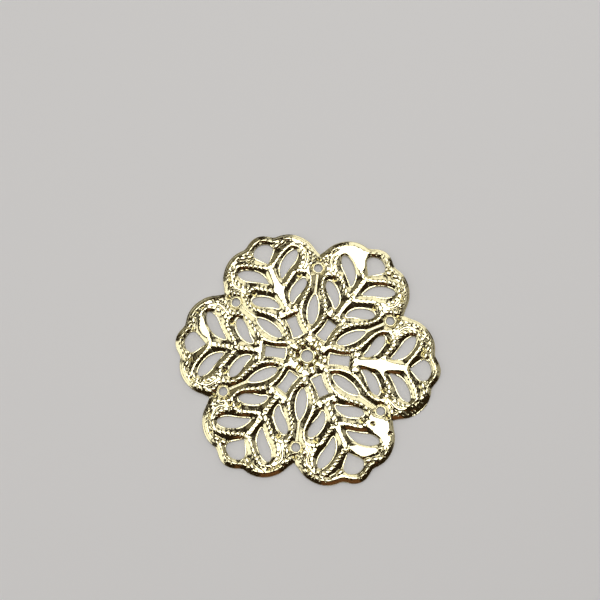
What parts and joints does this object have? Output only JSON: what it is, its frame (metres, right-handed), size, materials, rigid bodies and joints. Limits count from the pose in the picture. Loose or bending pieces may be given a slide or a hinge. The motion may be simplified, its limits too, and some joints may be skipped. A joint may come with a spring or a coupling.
{
  "type": "filigree stamping",
  "caption": "Flat six-petal flower pierced and pressed from thin gold-plated sheet, with a centre hole, joining holes and raised ridges.",
  "frame": {"origin": "centre of the centre hole at the flat underside, on which the flower lies", "axes": "+Z out of the pressed face, +X along the middle line of one petal"},
  "size_m": [0.0416, 0.0384, 0.0009],
  "materials": {
    "gold_plate": "polished yellow gold plate"
  },
  "bodies": {
    "root": {"stamping": "gold_plate"}
  },
  "joints": []
}
